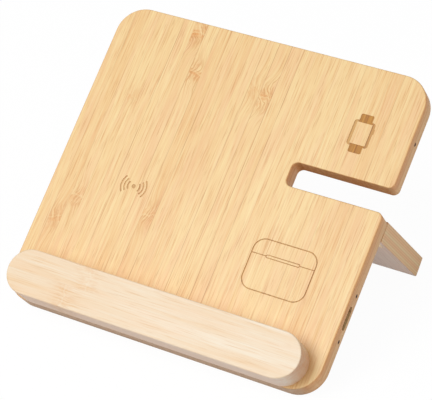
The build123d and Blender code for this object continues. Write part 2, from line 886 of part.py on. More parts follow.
print(f"lean {lean_angle:.4f} degrees, leg setback {leg_setback:.3f}")
show("hinge axis", place, (0, axis_y, axis_z))
show("socket mouth", place, (socket_back_x + socket_depth, socket_y, socket_z))
show("slot middle", place, (half_width - slot_depth / 2, (slot_low + slot_high) / 2, back_z / 2))
show("board's lower back corner", place, (0, 0, back_z))
show("leg's foot corner", place, (0, foot_y, foot_z))
show("front face's lower edge", place, (0, 0, 0))
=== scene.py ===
import math

import bpy
from mathutils import Matrix, Vector


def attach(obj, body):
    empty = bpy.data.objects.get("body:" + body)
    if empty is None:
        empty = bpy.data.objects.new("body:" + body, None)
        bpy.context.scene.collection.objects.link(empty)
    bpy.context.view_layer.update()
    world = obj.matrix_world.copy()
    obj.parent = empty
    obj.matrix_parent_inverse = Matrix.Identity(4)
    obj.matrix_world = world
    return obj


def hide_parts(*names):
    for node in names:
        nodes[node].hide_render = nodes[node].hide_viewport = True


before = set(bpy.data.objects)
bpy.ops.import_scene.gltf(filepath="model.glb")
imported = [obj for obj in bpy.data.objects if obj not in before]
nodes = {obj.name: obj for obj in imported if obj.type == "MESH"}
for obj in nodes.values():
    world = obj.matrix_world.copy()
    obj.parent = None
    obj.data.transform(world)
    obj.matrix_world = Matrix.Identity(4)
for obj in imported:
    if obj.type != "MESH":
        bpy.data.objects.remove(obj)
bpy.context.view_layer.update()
print("frame loaded:", len(nodes), "CAD pieces")

mm = 0.001

# How the dock stands: the board leans back, and the leg opens behind it
stand = {
    "lean": 38.1367,               # degrees from flat
    "legTurn": 47.2633,            # degrees, the leg's length below the horizontal
    "boardShift": (100.0, 52.3274, -52.5673),   # mm, puts the board's lower left corner at 0, its front at 0
    "legShift": (100.0, 35.389, -47.101),       # mm, puts the leg's root at 0, its inner face at 0
    "lowFront": (-73.620, 9.032),  # mm, the front face's lower edge in Y and Z
}


def linear(hexColour):
    values = [int(hexColour[i:i + 2], 16) / 255 for i in (1, 3, 5)]
    return [v / 12.92 if v <= 0.04045 else ((v + 0.055) / 1.055) ** 2.4 for v in values] + [1.0]


def addNode(tree, kind, links=None, **settings):
    # Adds a node. A link is a number, a socket, or a node, which stands for its first output
    node = tree.nodes.new(kind)
    for key, value in settings.items():
        setattr(node, key, value)
    for key, value in (links or {}).items():
        if isinstance(value, bpy.types.Node):
            value = value.outputs[0]
        if isinstance(value, bpy.types.NodeSocket):
            tree.links.new(value, node.inputs[key])
        else:
            node.inputs[key].default_value = value
    return node


def span(low, high, start=0.0, end=1.0):
    # The four numbers of a Map Range node
    return {"From Min": low, "From Max": high, "To Min": start, "To Max": end}


def newMaterial(name):
    material = bpy.data.materials.new(name)
    material.use_nodes = True
    tree = material.node_tree
    tree.nodes.clear()
    return material, tree


def finishMaterial(tree, surface):
    shader = addNode(tree, "ShaderNodeBsdfPrincipled", surface)
    addNode(tree, "ShaderNodeOutputMaterial", {"Surface": shader})


def ownPlace(tree, turn=0.0, shift=(0.0, 0.0, 0.0), size=(1.0, 1.0, 1.0)):
    # A piece's own coordinates, in mm or in grains of the given size, turned to lie flat
    coords = addNode(tree, "ShaderNodeTexCoord")
    return addNode(tree, "ShaderNodeMapping", {
        "Vector": coords.outputs["Object"], "Location": shift, "Rotation": (math.radians(turn), 0, 0),
        "Scale": [1 / (mm * side) for side in size]})


def boxDistance(tree, place, middle, halves):
    # How far a place is from a box, in mm
    away = addNode(tree, "ShaderNodeVectorMath", {0: place, 1: middle}, operation="SUBTRACT")
    away = addNode(tree, "ShaderNodeVectorMath", {0: away}, operation="ABSOLUTE")
    away = addNode(tree, "ShaderNodeVectorMath", {0: away, 1: halves}, operation="SUBTRACT")
    away = addNode(tree, "ShaderNodeVectorMath", {0: away, 1: (0, 0, 0)}, operation="MAXIMUM")
    return addNode(tree, "ShaderNodeVectorMath", {0: away}, operation="LENGTH").outputs["Value"]


# Bamboo in general: its stem nodes, fibres, cut faces and finish. Lengths are in mm and rates per mm.
# Two numbers for a noise say where it starts to show and where it is full, four give its strength there too
bambooGrain = {
    "rampSteps": 32.0, "rampGap": 0.001,            # values by number: how many fit, and the room before each
    "rampHeight": 200.0,                            # mm that a ramp's 1 stands for
    "fadeStep": 7.3, "fadeRate": 0.03, "seamFade": (0.32, 0.62, 0.3, 1.0),      # seams fade along their run
    "wave": 5.0, "waveRate": 0.3, "arch": 0.03, "tilt": 0.6, "lift": 3.0,       # the ridge of a stem node
    "reaches": {"flow": (9.5, 0.0), "band": (5.0, 1.0), "lip": (0.5, 1.2), "ridge": (2.0, 0.0)},  # along, below
    "fallOff": 0.3679,                              # what is left of a reach's strength at its end
    "swirlRate": 0.2, "swing": 2.2, "slant": 1.3,   # fibres waver and slant through a stem node
    "grainStep": 53.0,                              # from one strip's grain to the next one's
    "patterns": {"cloud": (6.0, 35.0, 2.0), "mottle": (0.5, 4.5, 2.0), "fleck": (0.35, 6.0, 1.0),
                 "blush": (4.0, 24.0, 2.0)},        # mm across, mm along, detail
    "patternRoughness": 0.55,
    "ledgeShadeInside": 1.0,                              # how far inside its rim the painted shade round the ledge starts to fade
    "toneMiddle": 0.48,                             # between pale at 0 and deep at 1
    "blushes": (0.42, 0.68), "flecks": (0.6, 0.76), "darkFibres": (0.58, 0.74, 0.0, 0.5),
    "crowds": (0.46, 0.58, 0.0, 0.9), "blotches": (0.4, 0.6, 0.0, 0.7), "lipStain": 0.12,
    "barPitch": 2.3, "bars": (0.1, 0.9, 0.0, 0.5),  # pale bars across the ridge
    "endFaces": (0.55, 0.95, 0.0, 0.9),             # which faces are cut ends, by their slant
    "dotRate": 1.4, "dots": (0.12, 0.42, 1.0, 0.8),     # a dot for each bundle of fibres
    "soaks": (0.36, 0.64, 0.75, 1.1),               # how cut ends drink lacquer
    "sideRise": 0.25, "sideDepth": (-1.0, -9.0),    # how a side's colour sets in, and fades to the back
    "layerEdge": 0.22,                              # half a glue line, as a share of a layer
    "lowFaces": (-0.55, -0.95), "lowReach": (2.0, 6.0),     # the lower end's painted shade, by its slant and its height
    # The right side where the painted shade round the holes lies, its depth and soft edge, and a depth that
    # reaches through the board
    "rightSide": 200.0, "holeShadeDeep": 3.0, "holeShadeSoft": 0.25, "anyDepth": 1000.0,
    "charSpeckle": (0.36, 0.64),                    # dark fibres in the burnt marks
    "roughness": (0.34, 0.5), "endRougher": 0.3, "sideRougher": 0.5, "burntRougher": 0.35,
    "coat": 0.15, "coatGone": 0.5, "coatRoughness": 0.3, "ior": 1.5,    # thin satin lacquer
    "seamHeight": -0.3, "bump": 0.35, "relief": 0.05,
}

# Bamboo board: strips glued edge to edge, planed, sanded and sealed with a thin satin lacquer. It gives a
# warm pale tan, fine streaks along each strip, thin dark seams, and a brown mottled band at each stem node
boardLook = {
    "pale": "#F8DC9F", "deep": "#EAB877", "blush": "#EEB588", "fibreColour": "#C68B48",
    # The end grain's colour is partly painted shade: darkened to the tone the cut walls show in shade
    "seam": "#B26C28", "knot": "#D08F48", "stain": "#E09648", "endGrain": "#BE7E46",
    # The sides' colour is partly painted shade: darker and warmer, as the board's walls look in shade
    "side": "#EE9A5C", "sideOther": None,     # the sides' colour, and a second one for other layers
    "sideAmount": 0.54, "sideFrom": 0.4,      # its strength, and how far a face has to turn for it
    "sideBack": 0.5,                          # what is left of it at the back
    "stripWidth": 7.9, "stripStart": 0.5,     # mm
    "seamHalf": 0.42,                         # mm, drawn a little wide so that it shows
    "seamPlain": 0.2,                         # strength of a seam that isn't named below
    "seams": {1: 0.4, 5: 0.6, 7: 0.55, 8: 0.45, 9: 0.6, 12: 0.6, 13: 0.6, 14: 0.7, 15: 0.75, 20: 0.45,
              23: 0.5},
    "streak": 0.9, "streakRun": 45.0,         # mm across and along
    "fibre": 0.4, "fibreRun": 14.0,           # mm across and along
    "stripContrast": 0.37, "streakContrast": 0.43, "fibreContrast": 0.88, "cloudContrast": 0.08,
    "drift": 0.0,                             # how the tone changes along a strip, per mm
    "blushAmount": 0.28, "fleckAmount": 0.42,
    "layer": 5.3, "layerContrast": 0.4, "layerLine": 0.25,   # mm, and how strongly the glued layers show
    "paintedLedgeShade": {"middle": (99.0, 13.5), "halfRun": 79.5, "radius": 13.5, "reach": 9.5, "amount": 0.42},  # mm; painted shade, a darker band on the board round the ledge where the ledge's contact shadow falls
    # Painted shade, a dark rim round the holes and the socket's cut-out: mm up the board, mm behind its front,
    # half run, radius, amount
    "paintedHoleShade": {"highLight": (62.0, -8.0, 0.0, 1.15, 0.85), "lowLight": (34.7, -8.0, 0.0, 1.15, 0.85),
                 "watchLight": (154.1, -6.9, 0.0, 1.15, 0.85), "socket": (48.2, -6.8, 4.9, 2.15, 0.12),
                 "socketEnd": (52.9, -6.8, 0.0, 2.0, 0.85)},
    # The colour of the painted shade round the holes
    "holeShadeColour": "#6E3410",
    "lowEndShade": "#C0B9A8", "lowEndShadeAmount": 0.36,    # painted shade: the lower end's cut faces are greyed and darkened
    "turn": -stand["lean"], "shift": stand["boardShift"], "across": 0, "along": 1,
    "knots": {1: (52, 0.62), 2: (68, 0.66), 3: (135, 0.3), 6: (183, 1.0), 7: (159, 0.78), 8: (69, 0.65),
              12: (158, 0.4), 13: (155, 0.9)},      # strip: (mm up the board, strength)
    "seed": 3.0, "toneSeed": 5995.0,
}

# Bamboo leg: the same strips, with its layers showing along its sides. Its pale and deep are pinker than the
# board's, partly painted shade: the tint its inner face shows in shade
legLook = dict(
    boardLook, turn=stand["legTurn"], shift=stand["legShift"], pale="#EFC79E", deep="#DCA174",
    side="#FFDEAA", sideOther="#FFCE9A", sideAmount=0.95, sideBack=1.0,
    layer=1.4, layerContrast=0.8, layerLine=0.24, paintedLedgeShade=None, paintedHoleShade={}, lowEndShadeAmount=0.0,
    seams={3: 0.6, 6: 0.4, 10: 0.7, 15: 0.5, 19: 0.7, 22: 0.5},
    knots={4: (52, 0.6), 11: (30, 0.8), 17: (66, 0.5), 22: (24, 0.8)},
    seed=17.0, toneSeed=17.0,
)

# Bamboo ledge: paler strips from the stem's inside, with the grain along the ledge
ledgeLook = dict(
    boardLook, pale="#F1E6D0", deep="#EABA77", blush="#F3CFA8", fibreColour="#D9AE7A", seam="#D9B07E",
    knot="#E0AE74", stain="#E8B878", endGrain="#E0A87A",
    side="#F8DEC9", sideAmount=0.5, sideFrom=0.75, sideBack=1.0,
    layer=0.0, paintedLedgeShade=None, paintedHoleShade={}, lowEndShadeAmount=0.0,
    stripWidth=14.5, stripStart=-1.2, seamHalf=0.3, seamPlain=0.15, seams={1: 0.3},
    streak=1.5, streakRun=80.0, stripContrast=0.1, streakContrast=0.4, fibreContrast=0.3, cloudContrast=0.15,
    drift=-0.001, blushAmount=0.2, fleckAmount=0.25, across=1, along=0,
    knots={0: (46, 0.45), 1: (57, 0.35)}, seed=31.0, toneSeed=31.0,
)

# Burnt marks: the middle, the half size and the strength of each, in mm from the board's lower left corner
marks = {
    "colour": "#C48420", "deepColour": "#985A0E",
    "places": {
        "wave": (52.0, 83.0, 9.6, 6.6, 0.46), "case": (155.2, 61.2, 20.6, 15.8, 0.68),
        "watch": (170.3, 149.7, 8.2, 7.9, 0.63), "strap": (170.3, 149.7, 4.2, 13.0, 0.88)},
    "from": -0.03, "to": -0.45,    # mm, depths of the recess's faces
}


def valuesByNumber(tree, counted, rows, plain):
    # One value for each seam or strip, found by its number
    steps, gap = bambooGrain["rampSteps"], bambooGrain["rampGap"]
    share = addNode(tree, "ShaderNodeMath", {0: counted, 1: 0.5}, operation="ADD")
    share = addNode(tree, "ShaderNodeMath", {0: share, 1: steps}, operation="DIVIDE")
    ramp = addNode(tree, "ShaderNodeValToRGB", {0: share})
    stops = ramp.color_ramp
    stops.interpolation = "CONSTANT"
    stops.elements[0].color = stops.elements[1].color = plain
    for n, value in rows.items():
        stops.elements.new(n / steps + gap).color = value
        if n + 1 not in rows:
            stops.elements.new((n + 1) / steps + gap).color = plain
    return ramp


def layStrips(tree, look, wood):
    # Strips: which one this is, how far its middle is, and how dark the nearest seam is
    width = look["stripWidth"]
    strips = addNode(tree, "ShaderNodeMapRange", {
        "Value": wood["across"], **span(look["stripStart"], look["stripStart"] + width)}, clamp=False)
    index = addNode(tree, "ShaderNodeMath", {0: strips}, operation="FLOOR")
    nearest = addNode(tree, "ShaderNodeMath", {0: strips}, operation="ROUND")
    fromSeam = addNode(tree, "ShaderNodeMath", {0: strips, 1: nearest}, operation="SUBTRACT")
    fromSeam = addNode(tree, "ShaderNodeMath", {0: fromSeam}, operation="ABSOLUTE")
    seamLine = addNode(tree, "ShaderNodeMapRange", {
        "Value": fromSeam, **span(0.0, look["seamHalf"] / width, 1.0, 0.0)},
        interpolation_type="SMOOTHSTEP")
    share = addNode(tree, "ShaderNodeMath", {0: strips, 1: index}, operation="SUBTRACT")
    fromMiddle = addNode(tree, "ShaderNodeMath", {0: share, 1: width, 2: -width / 2},
                         operation="MULTIPLY_ADD")
    stripSeed = addNode(tree, "ShaderNodeMath", {0: index, 1: look["seed"]}, operation="ADD")
    stripChance = addNode(tree, "ShaderNodeTexWhiteNoise", {"W": stripSeed}, noise_dimensions="1D")
    chances = addNode(tree, "ShaderNodeSeparateColor", {0: stripChance.outputs["Color"]})
    toneAt = addNode(tree, "ShaderNodeMath", {0: index, 1: look["toneSeed"]}, operation="ADD")
    stripTone = addNode(tree, "ShaderNodeTexWhiteNoise", {"W": toneAt}, noise_dimensions="1D")

    # A seam fades in and out along its run
    rows = {n: (value, 0, 0, 1) for n, value in look["seams"].items()}
    power = valuesByNumber(tree, nearest, rows, (look["seamPlain"], 0, 0, 1))
    power = addNode(tree, "ShaderNodeSeparateColor", {0: power.outputs["Color"]})
    fadeAt = addNode(tree, "ShaderNodeMath", {
        0: nearest, 1: bambooGrain["fadeStep"], 2: look["seed"]}, operation="MULTIPLY_ADD")
    fadeRun = addNode(tree, "ShaderNodeMath", {
        0: wood["along"], 1: bambooGrain["fadeRate"], 2: fadeAt}, operation="MULTIPLY_ADD")
    fade = addNode(tree, "ShaderNodeTexNoise", {"W": fadeRun, "Scale": 1.0, "Detail": 2.0},
                   noise_dimensions="1D")
    fading = addNode(tree, "ShaderNodeMapRange", {"Value": fade, **span(*bambooGrain["seamFade"])})
    seam = addNode(tree, "ShaderNodeMath", {0: seamLine, 1: power.outputs[0]}, operation="MULTIPLY")
    seam = addNode(tree, "ShaderNodeMath", {0: seam, 1: fading}, operation="MULTIPLY")
    wood.update({"index": index, "fromMiddle": fromMiddle, "seam": seam, "stripSeed": stripSeed,
                 "tiltChance": chances.outputs[0], "slantChance": chances.outputs[1], "stripTone": stripTone})


def growKnots(tree, look, wood):
    # Stem nodes: the ridge across a strip tilts and arches, and this is how near it is, over four reaches
    own = bambooGrain
    rows = {n: (up / own["rampHeight"], 0, 0, strength) for n, (up, strength) in look["knots"].items()}
    ramp = valuesByNumber(tree, wood["index"], rows, (0, 0, 0, 0))
    level = addNode(tree, "ShaderNodeSeparateColor", {0: ramp.outputs["Color"]})
    waveAt = addNode(tree, "ShaderNodeCombineXYZ", {
        0: wood["across"], 1: wood["depth"], 2: wood["stripSeed"]})
    wave = addNode(tree, "ShaderNodeTexNoise", {"Vector": waveAt, "Scale": own["waveRate"], "Detail": 2.0})
    bent = addNode(tree, "ShaderNodeMath", {0: wave, 1: own["wave"], 2: wood["along"]},
                   operation="MULTIPLY_ADD")
    arch = addNode(tree, "ShaderNodeMath", {0: wood["fromMiddle"], 1: wood["fromMiddle"]},
                   operation="MULTIPLY")
    bent = addNode(tree, "ShaderNodeMath", {0: arch, 1: own["arch"], 2: bent}, operation="MULTIPLY_ADD")
    tilt = addNode(tree, "ShaderNodeMapRange", {
        "Value": wood["tiltChance"], **span(0.0, 1.0, -own["tilt"], own["tilt"])})
    bent = addNode(tree, "ShaderNodeMath", {0: wood["fromMiddle"], 1: tilt, 2: bent},
                   operation="MULTIPLY_ADD")
    knotAt = addNode(tree, "ShaderNodeMath", {0: level.outputs[0], 1: own["rampHeight"], 2: own["lift"]},
                     operation="MULTIPLY_ADD")
    wood["fromKnot"] = addNode(tree, "ShaderNodeMath", {0: bent, 1: knotAt}, operation="SUBTRACT")
    for key, (reach, below) in own["reaches"].items():
        near = addNode(tree, "ShaderNodeMath", {0: wood["fromKnot"], 1: 1 / reach, 2: below / reach},
                       operation="MULTIPLY_ADD")
        near = addNode(tree, "ShaderNodeMath", {0: near, 1: near}, operation="MULTIPLY")
        near = addNode(tree, "ShaderNodeMath", {0: own["fallOff"], 1: near}, operation="POWER")
        wood[key] = addNode(tree, "ShaderNodeMath", {0: near, 1: ramp.outputs["Alpha"]}, operation="MULTIPLY")


def runFibres(tree, look, wood):
    # Fibres run along the strip, slant through its stem node and waver there
    own = bambooGrain
    swirlAt = addNode(tree, "ShaderNodeVectorMath", {0: wood["placed"], 1: (own["swirlRate"],) * 3},
                      operation="MULTIPLY")
    swirl = addNode(tree, "ShaderNodeTexNoise", {"Vector": swirlAt, "Scale": 1.0, "Detail": 2.0})
    swing = addNode(tree, "ShaderNodeMapRange", {
        "Value": swirl, **span(0.0, 1.0, -own["swing"], own["swing"])})
    slant = addNode(tree, "ShaderNodeMapRange", {
        "Value": wood["slantChance"], **span(0.0, 1.0, -own["slant"], own["slant"])})
    swing = addNode(tree, "ShaderNodeMath", {0: wood["fromKnot"], 1: slant, 2: swing},
                    operation="MULTIPLY_ADD")
    shifted = addNode(tree, "ShaderNodeMath", {0: swing, 1: wood["flow"], 2: wood["across"]},
                      operation="MULTIPLY_ADD")
    run = addNode(tree, "ShaderNodeMath", {0: wood["stripSeed"], 1: own["grainStep"], 2: wood["along"]},
                  operation="MULTIPLY_ADD")
    grain = addNode(tree, "ShaderNodeCombineXYZ", {0: shifted, 1: run, 2: wood["depth"]})
    sizes = {"streak": (look["streak"], look["streakRun"], 3.0),
             "fibre": (look["fibre"], look["fibreRun"], 2.0)}
    for key, (width, length, detail) in {**sizes, **own["patterns"]}.items():
        scaled = addNode(tree, "ShaderNodeVectorMath", {
            0: grain, 1: (0.5 / width, 0.5 / length, 0.5 / width)}, operation="MULTIPLY")
        wood[key] = addNode(tree, "ShaderNodeTexNoise", {
            "Vector": scaled, "Scale": 1.0, "Detail": detail, "Roughness": own["patternRoughness"]})
    wood["swirl"] = swirl


def toneWood(tree, look, wood):
    # Strips, clouds, streaks, fibres and layers push the tone from pale to deep
    middle, half = bambooGrain["toneMiddle"], look["stripContrast"] / 2
    tone = addNode(tree, "ShaderNodeMapRange", {
        "Value": wood["stripTone"], **span(0.0, 1.0, middle - half, middle + half)})
    for key in ("cloud", "streak", "fibre"):
        centred = addNode(tree, "ShaderNodeMath", {0: wood[key], 1: 0.5}, operation="SUBTRACT")
        tone = addNode(tree, "ShaderNodeMath", {
            0: centred, 1: look[key + "Contrast"] * 2, 2: tone}, operation="MULTIPLY_ADD")
    tone = addNode(tree, "ShaderNodeMath", {0: wood["along"], 1: look["drift"], 2: tone},
                   operation="MULTIPLY_ADD")
    if look["layer"]:
        layers = addNode(tree, "ShaderNodeMath", {0: wood["depth"], 1: look["layer"]}, operation="DIVIDE")
        layerIndex = addNode(tree, "ShaderNodeMath", {0: layers}, operation="FLOOR")
        chance = addNode(tree, "ShaderNodeTexWhiteNoise", {"W": layerIndex}, noise_dimensions="1D")
        wood["layerTone"] = chance.outputs["Value"]
        centred = addNode(tree, "ShaderNodeMath", {0: wood["layerTone"], 1: 0.5}, operation="SUBTRACT")
        toned = addNode(tree, "ShaderNodeMath", {0: centred, 1: wood["sideways"]}, operation="MULTIPLY")
        tone = addNode(tree, "ShaderNodeMath", {
            0: toned, 1: look["layerContrast"], 2: tone}, operation="MULTIPLY_ADD")
        edge = addNode(tree, "ShaderNodeMath", {0: layers, 1: 0.5}, operation="PINGPONG")
        line = addNode(tree, "ShaderNodeMapRange", {
            "Value": edge, **span(0.0, bambooGrain["layerEdge"], look["layerLine"], 0.0)},
            interpolation_type="SMOOTHSTEP")
        line = addNode(tree, "ShaderNodeMath", {0: line, 1: wood["sideways"]}, operation="MULTIPLY")
        wood["seam"] = addNode(tree, "ShaderNodeMath", {0: wood["seam"], 1: line}, operation="MAXIMUM")
    wood["tone"] = tone


def spotWood(tree, look, wood):
    # Pinkish patches, dark fibres and flecks here and there, and crowded ones with a stain round a stem node
    own = bambooGrain
    for key, noise, ends in (
            ("blushed", "blush", (*own["blushes"], 0.0, look["blushAmount"])),
            ("flecked", "fleck", (*own["flecks"], 0.0, look["fleckAmount"])),
            ("darkened", "fibre", own["darkFibres"]), ("crowd", "mottle", own["crowds"])):
        wood[key] = addNode(tree, "ShaderNodeMapRange", {"Value": wood[noise], **span(*ends)},
                            interpolation_type="SMOOTHSTEP")
    blotch = addNode(tree, "ShaderNodeMapRange", {"Value": wood["swirl"], **span(*own["blotches"])})
    stain = addNode(tree, "ShaderNodeMath", {0: wood["band"], 1: blotch}, operation="MULTIPLY")
    stain = addNode(tree, "ShaderNodeMath", {0: wood["lip"], 1: own["lipStain"], 2: stain},
                    operation="MULTIPLY_ADD")
    crowded = addNode(tree, "ShaderNodeMath", {0: wood["crowd"], 1: wood["flow"]}, operation="MULTIPLY")
    bars = addNode(tree, "ShaderNodeMath", {0: wood["fromKnot"], 1: math.tau / own["barPitch"]},
                   operation="MULTIPLY")
    bars = addNode(tree, "ShaderNodeMath", {0: bars}, operation="COSINE")
    bars = addNode(tree, "ShaderNodeMapRange", {"Value": bars, **span(*own["bars"])})
    barred = addNode(tree, "ShaderNodeMath", {0: wood["ridge"], 1: bars}, operation="MULTIPLY")
    wood.update({"stained": stain, "crowded": crowded, "barred": barred})


def cutFaces(tree, look, wood):
    # Cut ends: the open fibres drink lacquer and show darker, with a dot for each bundle. Their colour is
    # darkened further as painted shade, to the tone these walls show in shade
    own = bambooGrain
    atEnd = addNode(tree, "ShaderNodeMath", {0: wood["endways"]}, operation="ABSOLUTE")
    atEnd = addNode(tree, "ShaderNodeMapRange", {"Value": atEnd, **span(*own["endFaces"])})
    dotsAt = addNode(tree, "ShaderNodeCombineXYZ", {0: wood["across"], 1: wood["depth"]})
    dots = addNode(tree, "ShaderNodeTexVoronoi", {"Vector": dotsAt, "Scale": own["dotRate"]})
    dotted = addNode(tree, "ShaderNodeMapRange", {"Value": dots.outputs["Distance"], **span(*own["dots"])})
    ended = addNode(tree, "ShaderNodeMath", {0: atEnd, 1: dotted}, operation="MULTIPLY")
    soaked = addNode(tree, "ShaderNodeMapRange", {"Value": wood["streak"], **span(*own["soaks"])})
    ended = addNode(tree, "ShaderNodeMath", {0: ended, 1: soaked}, operation="MULTIPLY", use_clamp=True)

    # Sides: the strips' flanks, of another tone than their faces, and less so towards the back. On the board
    # this tone is also painted shade, darker and warmer as its walls look in shade
    start = look["sideFrom"]
    onSide = addNode(tree, "ShaderNodeMapRange", {
        "Value": wood["sideways"], **span(start, start + own["sideRise"], 0.0, look["sideAmount"])})
    backShare = addNode(tree, "ShaderNodeMapRange", {
        "Value": wood["depth"], **span(*own["sideDepth"], 1.0, look["sideBack"])})
    onSide = addNode(tree, "ShaderNodeMath", {0: onSide, 1: backShare}, operation="MULTIPLY")
    wood.update({"ended": ended, "onSide": onSide, "sideColour": linear(look["side"])})
    if look["sideOther"]:
        wood["sideColour"] = addNode(tree, "ShaderNodeMix", {
            0: wood["layerTone"], 6: linear(look["side"]), 7: linear(look["sideOther"])},
            data_type="RGBA").outputs[2]


def paintLedgeShade(tree, look, wood):
    # Painted shade: the board is darker in a soft band round the ledge, where the ledge's contact shadow falls
    own, ledgeShade = bambooGrain, look["paintedLedgeShade"]
    halves = (ledgeShade["halfRun"], 0, own["anyDepth"])
    away = boxDistance(tree, wood["placed"], (*ledgeShade["middle"], 0), halves)
    start, stop = ledgeShade["radius"] - own["ledgeShadeInside"], ledgeShade["radius"] + ledgeShade["reach"]
    wood["paintedLedgeShade"] = addNode(tree, "ShaderNodeMapRange", {
        "Value": away, **span(start, stop, ledgeShade["amount"], 0.0)}, interpolation_type="SMOOTHSTEP")


def paintLowEndShade(tree, look, wood):
    # Painted shade: the lower end's cut faces are greyed and darkened, as they look in shade under the ledge
    own = bambooGrain
    down = addNode(tree, "ShaderNodeMapRange", {
        "Value": wood["endways"], **span(*own["lowFaces"], 0.0, look["lowEndShadeAmount"])})
    low = addNode(tree, "ShaderNodeMapRange", {"Value": wood["along"], **span(*own["lowReach"], 1.0, 0.0)})
    wood["lowEndShade"] = addNode(tree, "ShaderNodeMath", {0: down, 1: low}, operation="MULTIPLY")


def paintHoleShade(tree, look, wood):
    # Painted shade: a dark brown rim round the holes in the right side and at the socket's cut-out, as these
    # holes look in shade
    own = bambooGrain
    paintedHoleShade = None
    for up, back, halfRun, radius, amount in look["paintedHoleShade"].values():
        halves = (own["holeShadeDeep"], halfRun, 0)
        away = boxDistance(tree, wood["placed"], (own["rightSide"], up, back), halves)
        near = addNode(tree, "ShaderNodeMapRange", {
            "Value": away, **span(radius, radius + own["holeShadeSoft"], amount, 0.0)},
            interpolation_type="SMOOTHSTEP")
        paintedHoleShade = near if paintedHoleShade is None else addNode(
            tree, "ShaderNodeMath", {0: paintedHoleShade, 1: near}, operation="MAXIMUM")
    wood["paintedHoleShade"] = paintedHoleShade


def burnMarks(tree, burnt, wood):
    # Marks: faces at the recess's depth, inside the boxes of the marks, turn brown with darker fibres
    shallow = addNode(tree, "ShaderNodeMath", {0: wood["depth"], 1: burnt["from"]}, operation="LESS_THAN")
    deep = addNode(tree, "ShaderNodeMath", {0: wood["depth"], 1: burnt["to"]}, operation="GREATER_THAN")
    inDepth = addNode(tree, "ShaderNodeMath", {0: shallow, 1: deep}, operation="MULTIPLY")
    inside = None
    for x, y, halfWidth, halfHeight, power in burnt["places"].values():
        away = addNode(tree, "ShaderNodeVectorMath", {0: wood["placed"], 1: (x, y, 0)}, operation="SUBTRACT")
        away = addNode(tree, "ShaderNodeVectorMath", {0: away}, operation="ABSOLUTE")
        away = addNode(tree, "ShaderNodeSeparateXYZ", {0: away})
        wide = addNode(tree, "ShaderNodeMath", {0: away.outputs[0], 1: halfWidth}, operation="LESS_THAN")
        high = addNode(tree, "ShaderNodeMath", {0: away.outputs[1], 1: halfHeight}, operation="LESS_THAN")
        both = addNode(tree, "ShaderNodeMath", {0: wide, 1: high}, operation="MULTIPLY")
        both = addNode(tree, "ShaderNodeMath", {0: both, 1: power}, operation="MULTIPLY")
        inside = both if inside is None else addNode(
            tree, "ShaderNodeMath", {0: inside, 1: both}, operation="MAXIMUM")
    burn = addNode(tree, "ShaderNodeMath", {0: inside, 1: inDepth}, operation="MULTIPLY")
    speckle = addNode(tree, "ShaderNodeMapRange", {
        "Value": wood["fibre"], **span(*bambooGrain["charSpeckle"])})
    charred = addNode(tree, "ShaderNodeMix", {
        0: speckle, 6: linear(burnt["colour"]), 7: linear(burnt["deepColour"])}, data_type="RGBA")
    return burn, charred.outputs[2]


